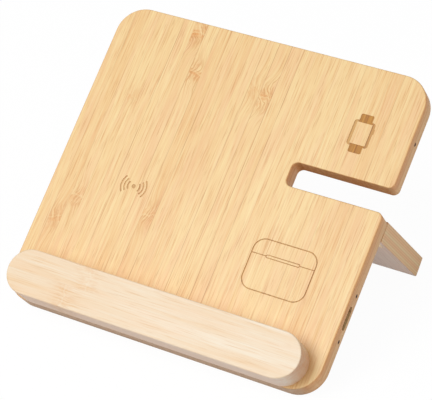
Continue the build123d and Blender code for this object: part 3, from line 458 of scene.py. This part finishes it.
def bamboo(name, look, burnt=None):
    # One material for all three pieces: strips, stem nodes, fibres and tone, then what lies over them
    own = bambooGrain
    material, tree = newMaterial(name)
    placed = ownPlace(tree, look["turn"], look["shift"])
    coords = addNode(tree, "ShaderNodeTexCoord")
    facing = addNode(tree, "ShaderNodeMapping", {
        "Vector": coords.outputs["Normal"], "Rotation": (math.radians(look["turn"]), 0, 0)},
        vector_type="VECTOR")
    axes = addNode(tree, "ShaderNodeSeparateXYZ", {0: placed})
    normals = addNode(tree, "ShaderNodeSeparateXYZ", {0: facing})
    sideways = addNode(tree, "ShaderNodeMath", {0: normals.outputs[look["across"]]}, operation="ABSOLUTE")

    # The steps below read and add to what is known of a place in the wood
    wood = {"placed": placed, "across": axes.outputs[look["across"]], "along": axes.outputs[look["along"]],
            "depth": axes.outputs[2], "sideways": sideways, "endways": normals.outputs[look["along"]]}
    layStrips(tree, look, wood)
    growKnots(tree, look, wood)
    runFibres(tree, look, wood)
    toneWood(tree, look, wood)
    spotWood(tree, look, wood)
    cutFaces(tree, look, wood)
    overlays = [("blushed", "blush"), ("darkened", "fibreColour"), ("flecked", "fibreColour"),
                ("onSide", "side"), ("stained", "stain"), ("crowded", "knot"), ("seam", "seam"),
                ("barred", "pale"), ("ended", "endGrain")]
    # Painted contact shadow round the ledge, in the fibres' colour
    if look["paintedLedgeShade"]:
        paintLedgeShade(tree, look, wood)
        overlays.append(("paintedLedgeShade", "fibreColour"))
    # Painted shade on the lower end
    if look["lowEndShadeAmount"]:
        paintLowEndShade(tree, look, wood)
        overlays.append(("lowEndShade", "lowEndShade"))
    # Painted shade round the holes and the socket
    if look["paintedHoleShade"]:
        paintHoleShade(tree, look, wood)
        overlays.append(("paintedHoleShade", "holeShadeColour"))
    colour = addNode(tree, "ShaderNodeMix", {
        0: wood["tone"], 6: linear(look["pale"]), 7: linear(look["deep"])}, data_type="RGBA")
    for amount, over in overlays:
        paint = wood["sideColour"] if over == "side" else linear(look[over])
        colour = addNode(tree, "ShaderNodeMix", {0: wood[amount], 6: colour.outputs[2], 7: paint},
                         data_type="RGBA")

    # The lacquer is satin on the faces, and dull and thin where the wood was milled
    rough = addNode(tree, "ShaderNodeMapRange", {
        "Value": wood["streak"], **span(0.0, 1.0, *own["roughness"])})
    rough = addNode(tree, "ShaderNodeMath", {0: wood["ended"], 1: own["endRougher"], 2: rough},
                    operation="MULTIPLY_ADD")
    rough = addNode(tree, "ShaderNodeMath", {0: wood["onSide"], 1: own["sideRougher"], 2: rough},
                    operation="MULTIPLY_ADD")
    milled = addNode(tree, "ShaderNodeMath", {0: wood["onSide"], 1: wood["ended"]}, operation="MAXIMUM")
    coat = addNode(tree, "ShaderNodeMapRange", {
        "Value": milled, **span(0.0, own["coatGone"], own["coat"], 0.0)})
    if burnt:
        burn, charred = burnMarks(tree, burnt, wood)
        colour = addNode(tree, "ShaderNodeMix", {0: burn, 6: colour.outputs[2], 7: charred}, data_type="RGBA")
        rough = addNode(tree, "ShaderNodeMath", {0: burn, 1: own["burntRougher"], 2: rough},
                        operation="MULTIPLY_ADD")

    # Sanding leaves the seams and the soft fibres a hair lower
    height = addNode(tree, "ShaderNodeMath", {0: wood["seam"], 1: own["seamHeight"], 2: wood["fibre"]},
                     operation="MULTIPLY_ADD")
    bump = addNode(tree, "ShaderNodeBump", {
        "Height": height, "Strength": own["bump"], "Distance": own["relief"] * mm})
    finishMaterial(tree, {"Base Color": colour.outputs[2], "Roughness": rough, "IOR": own["ior"],
                          "Coat Weight": coat, "Coat Roughness": own["coatRoughness"], "Normal": bump})
    return material


# Plain finishes: how their grain turns into tone and roughness
plainGrain = {"broadRate": 0.07, "tone": (0.1, 0.42), "rough": (0.3, 0.7)}


def grained(name, look):
    # A plain finish with a fine grain: colours, grain size in mm, roughness range, metal or not
    material, tree = newMaterial(name)
    placed = ownPlace(tree, -stand["lean"], size=look["grain"])
    grain = addNode(tree, "ShaderNodeTexNoise", {
        "Vector": placed, "Scale": 1.0, "Detail": 3.0, "Roughness": 0.6})
    broad = addNode(tree, "ShaderNodeTexNoise", {
        "Vector": placed, "Scale": plainGrain["broadRate"], "Detail": 2.0})
    mixed = addNode(tree, "ShaderNodeMath", {0: grain, 1: broad}, operation="MULTIPLY")
    tone = addNode(tree, "ShaderNodeMapRange", {"Value": mixed, **span(*plainGrain["tone"])})
    colour = addNode(tree, "ShaderNodeMix", {
        0: tone, 6: linear(look["dark"]), 7: linear(look["light"])}, data_type="RGBA")
    rough = addNode(tree, "ShaderNodeMapRange", {
        "Value": grain, **span(*plainGrain["rough"], *look["roughness"])})
    bump = addNode(tree, "ShaderNodeBump", {
        "Height": grain, "Strength": look["bump"], "Distance": look["relief"] * mm})
    finishMaterial(tree, {"Base Color": colour.outputs[2], "Roughness": rough, "Normal": bump,
                          **look.get("sockets", {})})
    return material


metalSockets = {"Metallic": 1.0}
finishes = {
    # Black ABS, moulded against a spark-eroded tool: a fine even grit with a soft sheen
    "blackAbs": {"dark": "#141415", "light": "#232325", "grain": (0.35, 0.35, 0.35),
                 "roughness": (0.45, 0.6), "bump": 0.5, "relief": 0.03},
    # Zinc-plated steel: cool grey, slightly cloudy
    "zincSteel": {"dark": "#8E9194", "light": "#B9BCBE", "grain": (0.3, 0.3, 0.3),
                  "roughness": (0.28, 0.42), "bump": 0.2, "relief": 0.01, "sockets": metalSockets},
    # Brass-plated hinge leaf, brushed along the hinge: fine lines and a soft warm shine
    "brushedBrass": {"dark": "#B58F4E", "light": "#D8B46C", "grain": (6.0, 0.12, 0.12),
                     "roughness": (0.25, 0.4), "bump": 0.25, "relief": 0.01, "sockets": metalSockets},
    # Brass-plated screw: the same metal, tumbled, so its grain has no direction
    "tumbledBrass": {"dark": "#AA8546", "light": "#CBA55C", "grain": (0.25, 0.25, 0.25),
                     "roughness": (0.25, 0.4), "bump": 0.25, "relief": 0.01, "sockets": metalSockets},
    # Bright drawn steel pin: lines along its length
    "drawnSteel": {"dark": "#9C9C9B", "light": "#C9C9C7", "grain": (5.0, 0.1, 0.1),
                   "roughness": (0.2, 0.32), "bump": 0.15, "relief": 0.01, "sockets": metalSockets},
    # Nickel-plated sheet steel of the socket, and the plated magnet: greyed and a little warm
    "nickelPlate": {"dark": "#77746D", "light": "#ABA79D", "grain": (0.4, 0.4, 0.4),
                    "roughness": (0.22, 0.34), "bump": 0.1, "relief": 0.01, "sockets": metalSockets},
    # Enamelled copper wire: copper under clear enamel
    "enamelledCopper": {"dark": "#A5552B", "light": "#CF7B45", "grain": (0.3, 0.3, 0.3),
                        "roughness": (0.22, 0.35), "bump": 0.1, "relief": 0.01,
                        "sockets": {**metalSockets, "Coat Weight": 0.5}},
    # Sintered ferrite: dark grey, dull and finely speckled
    "ferrite": {"dark": "#1E1E20", "light": "#3A3A3D", "grain": (0.2, 0.2, 0.2),
                "roughness": (0.6, 0.8), "bump": 0.4, "relief": 0.02},
    # PVC lead insulation: smooth, slightly waxy red
    "leadPvc": {"dark": "#8E1512", "light": "#B3261F", "grain": (0.8, 0.8, 0.8),
                "roughness": (0.35, 0.45), "bump": 0.1, "relief": 0.01},
    # Moulded epoxy of the chips: charcoal, very fine grit
    "chipEpoxy": {"dark": "#18181A", "light": "#29292B", "grain": (0.15, 0.15, 0.15),
                  "roughness": (0.5, 0.65), "bump": 0.4, "relief": 0.01},
    # Fired ceramic of the capacitors: tan and satin
    "firedCeramic": {"dark": "#8F6C43", "light": "#B08A5C", "grain": (0.4, 0.4, 0.4),
                     "roughness": (0.3, 0.45), "bump": 0.2, "relief": 0.01},
    # Clear resin over a pale lamp
    "lampResin": {"dark": "#D9D8CC", "light": "#F2F1E8", "grain": (0.4, 0.4, 0.4),
                  "roughness": (0.15, 0.25), "bump": 0.1, "relief": 0.01},
    # Beech dowel: pinkish tan with short dark flecks along it
    "beech": {"dark": "#B58A63", "light": "#DDBB92", "grain": (0.5, 0.5, 4.0),
              "roughness": (0.55, 0.7), "bump": 0.4, "relief": 0.03},
    # Brass contact with thin gold over it: bright and warm
    "giltBrass": {"dark": "#C79A3E", "light": "#E6C063", "grain": (0.3, 0.3, 0.3),
                  "roughness": (0.2, 0.3), "bump": 0.1, "relief": 0.01, "sockets": metalSockets},
}


# Smoked acrylic rod: so dark that it is nearly black in its hole, with a matt end that catches no glare
acrylicLook = {
    "dark": "#0C0704", "light": "#18100A", "hazeRate": 2.0, "roughness": (0.3, 0.5),
    "ior": 1.49, "through": 0.08, "glare": 0.02,
}


def acrylic(name, look):
    material, tree = newMaterial(name)
    haze = addNode(tree, "ShaderNodeTexNoise", {
        "Vector": ownPlace(tree), "Scale": look["hazeRate"], "Detail": 2.0})
    rough = addNode(tree, "ShaderNodeMapRange", {"Value": haze, **span(0.0, 1.0, *look["roughness"])})
    colour = addNode(tree, "ShaderNodeMix", {
        0: haze, 6: linear(look["dark"]), 7: linear(look["light"])}, data_type="RGBA")
    finishMaterial(tree, {"Base Color": colour.outputs[2], "Roughness": rough, "IOR": look["ior"],
                          "Transmission Weight": look["through"], "Specular IOR Level": look["glare"]})
    return material


# Circuit board: green solder mask over copper traces, on glass-fibre laminate
circuitLook = {
    "mask": "#0F4A26", "trace": "#1C6B38", "pad": "#C9C4A8",
    "tracePitch": 1.6, "padPitch": 2.4,            # mm
    "traceBands": 5.0, "traceFrom": 0.55, "padReach": 0.16,
    "roughness": (0.3, 0.38), "bump": 0.4, "relief": 0.03,
}


def circuit(name, look):
    material, tree = newMaterial(name)
    placed = ownPlace(tree, -stand["lean"])
    cells = addNode(tree, "ShaderNodeTexVoronoi", {"Vector": placed, "Scale": 0.5 / look["tracePitch"]},
                    distance="MANHATTAN", feature="F2")
    trace = addNode(tree, "ShaderNodeMath", {0: cells.outputs["Distance"], 1: look["traceBands"]},
                    operation="MULTIPLY")
    trace = addNode(tree, "ShaderNodeMath", {0: trace}, operation="FRACT")
    traced = addNode(tree, "ShaderNodeMath", {0: trace, 1: look["traceFrom"]}, operation="GREATER_THAN")
    colour = addNode(tree, "ShaderNodeMix", {
        0: traced, 6: linear(look["mask"]), 7: linear(look["trace"])}, data_type="RGBA")
    pads = addNode(tree, "ShaderNodeTexVoronoi", {"Vector": placed, "Scale": 1 / look["padPitch"]})
    padded = addNode(tree, "ShaderNodeMath", {0: pads.outputs["Distance"], 1: look["padReach"]},
                     operation="LESS_THAN")
    colour = addNode(tree, "ShaderNodeMix", {
        0: padded, 6: colour.outputs[2], 7: linear(look["pad"])}, data_type="RGBA")
    rough = addNode(tree, "ShaderNodeMapRange", {"Value": traced, **span(0.0, 1.0, *look["roughness"])})
    bump = addNode(tree, "ShaderNodeBump", {
        "Height": traced, "Strength": look["bump"], "Distance": look["relief"] * mm})
    finishMaterial(tree, {"Base Color": colour.outputs[2], "Roughness": rough, "Normal": bump})
    return material


materials = {
    "boardBamboo": bamboo("boardBamboo", boardLook, marks),
    "legBamboo": bamboo("legBamboo", legLook),
    "ledgeBamboo": bamboo("ledgeBamboo", ledgeLook),
    "smokedAcrylic": acrylic("smokedAcrylic", acrylicLook),
    "solderMask": circuit("solderMask", circuitLook),
}
for name, look in finishes.items():
    materials[name] = grained(name, look)

wearing = {
    "front_board": "boardBamboo", "rear_leg": "legBamboo", "phone_ledge": "ledgeBamboo",
    "ledge_dowels": "beech", "back_plate": "blackAbs", "back_plate_screws": "zincSteel",
    "hinge_board_leaves": "brushedBrass", "hinge_leg_leaves": "brushedBrass", "hinge_pins": "drawnSteel",
    "hinge_board_screws": "tumbledBrass", "hinge_leg_screws": "tumbledBrass",
    "phone_coil": "enamelledCopper", "earbuds_coil": "enamelledCopper", "watch_coil": "enamelledCopper",
    "phone_ferrite": "ferrite", "earbuds_ferrite": "ferrite", "watch_ferrite": "ferrite",
    "watch_magnet": "nickelPlate", "phone_coil_leads": "leadPvc", "earbuds_coil_leads": "leadPvc",
    "watch_coil_leads": "leadPvc", "board_leads": "leadPvc", "control_board": "solderMask",
    "watch_board": "solderMask", "control_board_screws": "zincSteel", "watch_board_screws": "zincSteel",
    "control_chips": "chipEpoxy", "watch_chip": "chipEpoxy", "power_inductors": "ferrite",
    "capacitors": "firedCeramic", "indicator_lights": "lampResin", "light_pipes": "smokedAcrylic",
    "socket_shell": "nickelPlate", "socket_tongue": "blackAbs",
}
for node, finish in wearing.items():
    for place in nodes[node].material_slots:
        place.material = materials[finish]
print("materials made:", len(materials), "for", len(wearing), "CAD pieces")


def boardPlace(x, y, z):
    # A place on the board in mm: x from its middle, y up the slope, z out of its front
    lean = math.radians(stand["lean"])
    lowY, lowZ = stand["lowFront"]
    spot = Vector((x, y * math.cos(lean) - z * math.sin(lean) + lowY,
                   y * math.sin(lean) + z * math.cos(lean) + lowZ)) * mm
    return Matrix.Translation(spot) @ Matrix.Rotation(lean, 4, "X")


def nodeTree(name, inputs):
    tree = bpy.data.node_groups.new(name, "GeometryNodeTree")
    for label, kind in inputs.items():
        tree.interface.new_socket(label, in_out="INPUT", socket_type=kind)
    tree.interface.new_socket("Geometry", in_out="OUTPUT", socket_type="NodeSocketGeometry")
    return tree, addNode(tree, "NodeGroupInput")


def endTree(tree, given, geometry):
    real = addNode(tree, "GeometryNodeRealizeInstances", {0: geometry})
    dressed = addNode(tree, "GeometryNodeSetMaterial", {0: real, "Material": given.outputs["Material"]})
    addNode(tree, "NodeGroupOutput", {0: dressed})


def grow(name, tree, values, matrix):
    # Runs a tree on an empty mesh, keeps the result as a plain mesh in its place
    holder = bpy.data.objects.new(name, bpy.data.meshes.new(name))
    bpy.context.collection.objects.link(holder)
    modifier = holder.modifiers.new("grow", "NODES")
    modifier.node_group = tree
    for item in tree.interface.items_tree:
        if item.in_out == "INPUT":
            modifier[item.identifier] = values[item.name]
    graph = bpy.context.evaluated_depsgraph_get()
    mesh = bpy.data.meshes.new_from_object(holder.evaluated_get(graph))
    holder.modifiers.clear()
    mesh.transform(matrix)
    holder.data = mesh
    return holder


# Flat coils: one wire wound in a spiral, from the hole outwards. Lengths are in mm
coils = {
    "wireRadius": 0.75, "depth": -3.8,      # behind the front face
    "steps": 40, "wireSides": 8,            # faces along a turn and round the wire
    "wound": {
        "phone_coil": {"place": (-48.0, 83.0), "from": 10.8, "to": 24.2, "turns": 8.0},
        "earbuds_coil": {"place": (55.2, 61.2), "from": 8.8, "to": 19.2, "turns": 6.0},
        "watch_coil": {"place": (70.3, 149.7), "from": 6.8, "to": 13.2, "turns": 4.0},
    },
}

tree, given = nodeTree("windCoil", {
    "Inner Radius": "NodeSocketFloat", "Outer Radius": "NodeSocketFloat", "Turns": "NodeSocketFloat",
    "Wire Radius": "NodeSocketFloat", "Material": "NodeSocketMaterial"})
path = addNode(tree, "GeometryNodeCurveSpiral", {
    "Resolution": coils["steps"], "Rotations": given.outputs["Turns"], "Height": 0.0,
    "Start Radius": given.outputs["Inner Radius"], "End Radius": given.outputs["Outer Radius"]})
section = addNode(tree, "GeometryNodeCurvePrimitiveCircle", {
    "Resolution": coils["wireSides"], "Radius": given.outputs["Wire Radius"]})
wire = addNode(tree, "GeometryNodeCurveToMesh", {
    "Curve": path, "Profile Curve": section, "Fill Caps": True})
smooth = addNode(tree, "GeometryNodeSetShadeSmooth", {0: wire})
endTree(tree, given, smooth)
for node, size in coils["wound"].items():
    winding = grow(node + "_winding", tree, {
        "Inner Radius": size["from"] * mm, "Outer Radius": size["to"] * mm, "Turns": size["turns"],
        "Wire Radius": coils["wireRadius"] * mm, "Material": materials["enamelledCopper"]},
        boardPlace(*size["place"], coils["depth"]))
    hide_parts(node)
    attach(winding, "stand")
print("coils wound:", len(coils["wound"]))

# Socket contacts: a row of gilt strips on each side of the tongue
contacts = {
    "count": 12, "pitch": 0.5, "size": (3.4, 0.28, 0.04),       # mm
    "middle": (94.3, 48.2, -6.8),   # mm from the board's middle, up its front, behind its front
    "half": 0.36,                   # mm from the tongue's middle to a row
}

tree, given = nodeTree("layContacts", {
    "Count": "NodeSocketInt", "Pitch": "NodeSocketFloat", "Strip Size": "NodeSocketVector",
    "Half Thickness": "NodeSocketFloat", "Material": "NodeSocketMaterial"})
stepAlong = addNode(tree, "ShaderNodeCombineXYZ", {1: given.outputs["Pitch"]})
line = addNode(tree, "GeometryNodeMeshLine", {"Count": given.outputs["Count"], "Offset": stepAlong})
lessOne = addNode(tree, "ShaderNodeMath", {0: given.outputs["Count"], 1: 1.0}, operation="SUBTRACT")
halfRun = addNode(tree, "ShaderNodeMath", {0: lessOne, 1: -0.5}, operation="MULTIPLY")
toStart = addNode(tree, "ShaderNodeMath", {0: halfRun, 1: given.outputs["Pitch"]}, operation="MULTIPLY")
strip = addNode(tree, "GeometryNodeMeshCube", {"Size": given.outputs["Strip Size"]})
rows = addNode(tree, "GeometryNodeJoinGeometry")
for side in (1, -1):
    rise = addNode(tree, "ShaderNodeMath", {0: given.outputs["Half Thickness"], 1: float(side)},
                   operation="MULTIPLY")
    offset = addNode(tree, "ShaderNodeCombineXYZ", {1: toStart, 2: rise})
    row = addNode(tree, "GeometryNodeSetPosition", {"Geometry": line, "Offset": offset})
    laid = addNode(tree, "GeometryNodeInstanceOnPoints", {"Points": row, "Instance": strip})
    tree.links.new(laid.outputs[0], rows.inputs[0])
endTree(tree, given, rows)
strips = grow("socket_contacts", tree, {
    "Count": contacts["count"], "Pitch": contacts["pitch"] * mm,
    "Strip Size": [side * mm for side in contacts["size"]], "Half Thickness": contacts["half"] * mm,
    "Material": materials["giltBrass"]}, boardPlace(*contacts["middle"]))
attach(strips, "stand")
print("socket contacts laid:", contacts["count"] * 2)

# Stage: a plain pale floor that stays white behind the dock and keeps its soft shadow
studio = {
    "floorRadius": 6.0, "floorSides": 96,          # metres
    "floorColour": "#DADAE3", "seenColour": "#FFFFFF", "glow": 0.95, "white": 1.01,
    "paper": {"rate": 900.0, "bump": 0.05, "relief": 0.02},     # per metre, strength, mm
    "worldStrength": 0.42, "worldColour": "#FBFBFF",
    "aim": (0.0, 0.0, 0.05),                       # metres, what the lamps point at
    "lamps": {
        "key": {"place": (-0.55, -1.22, 1.52), "size": 1.2, "power": 21.0},
        "fill": {"place": (1.5, -1.0, 0.9), "size": 1.6, "power": 3.9},
    },
}


def seenRays(tree):
    # 1 for what the camera sees, straight on or in metal and glass, and 0 for what lights the dock
    rays = addNode(tree, "ShaderNodeLightPath")
    seen = addNode(tree, "ShaderNodeMath", {
        0: rays.outputs["Is Camera Ray"], 1: rays.outputs["Is Glossy Ray"]}, operation="MAXIMUM")
    return addNode(tree, "ShaderNodeMath", {
        0: seen, 1: rays.outputs["Is Transmission Ray"]}, operation="MAXIMUM")


def floorMaterial():
    # Matt white paper: even and pale, lit by the lamps, and lifted to white where the camera sees it
    paper = studio["paper"]
    material, tree = newMaterial("mattPaper")
    coords = addNode(tree, "ShaderNodeTexCoord")
    fibres = addNode(tree, "ShaderNodeTexNoise", {
        "Vector": coords.outputs["Object"], "Scale": paper["rate"], "Detail": 2.0})
    bump = addNode(tree, "ShaderNodeBump", {
        "Height": fibres, "Strength": paper["bump"], "Distance": paper["relief"] * mm})
    seen = seenRays(tree)
    shade = addNode(tree, "ShaderNodeMix", {
        0: seen, 6: linear(studio["floorColour"]), 7: linear(studio["seenColour"])}, data_type="RGBA")
    matt = addNode(tree, "ShaderNodeBsdfDiffuse", {"Color": shade.outputs[2], "Normal": bump})
    glow = addNode(tree, "ShaderNodeEmission", {"Color": (1, 1, 1, 1), "Strength": studio["white"]})
    amount = addNode(tree, "ShaderNodeMath", {0: seen, 1: studio["glow"]}, operation="MULTIPLY")
    both = addNode(tree, "ShaderNodeMixShader", {0: amount, 1: matt, 2: glow})
    addNode(tree, "ShaderNodeOutputMaterial", {"Surface": both})
    return material


floorMesh = bpy.data.meshes.new("floor")
sides, radius = studio["floorSides"], studio["floorRadius"]
turns = [math.tau * i / sides for i in range(sides)]
ring = [(math.cos(turn) * radius, math.sin(turn) * radius, 0) for turn in turns]
floorMesh.from_pydata(ring, [], [range(sides)])
floorMesh.materials.append(floorMaterial())
floor = bpy.data.objects.new("floor", floorMesh)
bpy.context.collection.objects.link(floor)

world = bpy.data.worlds.new("studio")
bpy.context.scene.world = world
world.use_nodes = True
tree = world.node_tree
tree.nodes.clear()
seen = seenRays(tree)
power = addNode(tree, "ShaderNodeMapRange", {"Value": seen, **span(0.0, 1.0, studio["worldStrength"], 1.0)})
tint = addNode(tree, "ShaderNodeMix", {
    0: seen, 6: linear(studio["worldColour"]), 7: linear(studio["seenColour"])}, data_type="RGBA")
air = addNode(tree, "ShaderNodeBackground", {"Color": tint.outputs[2], "Strength": power})
addNode(tree, "ShaderNodeOutputWorld", {"Surface": air})

for name, lamp in studio["lamps"].items():
    light = bpy.data.lights.new(name, "AREA")
    light.shape, light.size, light.energy = "DISK", lamp["size"], lamp["power"]
    holder = bpy.data.objects.new(name, light)
    holder.location = lamp["place"]
    towards = Vector(studio["aim"]) - Vector(lamp["place"])
    holder.rotation_euler = towards.to_track_quat("-Z", "Y").to_euler()
    bpy.context.collection.objects.link(holder)
print("stage and lamps set")

# Camera, fitted to the outlines in the photograph
shot = {
    "place": (0.44439, -0.789491, 0.673014), "right": (0.875736, 0.482662, -0.011092),
    "up": (-0.262176, 0.494730, 0.828557), "back": (0.405401, -0.722689, 0.559795),
    "lens": 160.07, "sensor": 36.0,    # mm
    "clip": (0.01, 50.0),              # metres
}
cameraData = bpy.data.cameras.new("camera")
cameraData.lens, cameraData.sensor_width = shot["lens"], shot["sensor"]
cameraData.clip_start, cameraData.clip_end = shot["clip"]
camera = bpy.data.objects.new("camera", cameraData)
turn = Matrix((shot["right"], shot["up"], shot["back"])).transposed().to_4x4()
camera.matrix_world = Matrix.Translation(shot["place"]) @ turn
bpy.context.collection.objects.link(camera)
bpy.context.scene.camera = camera
bpy.context.scene.view_settings.view_transform = "Standard"
print("camera set")
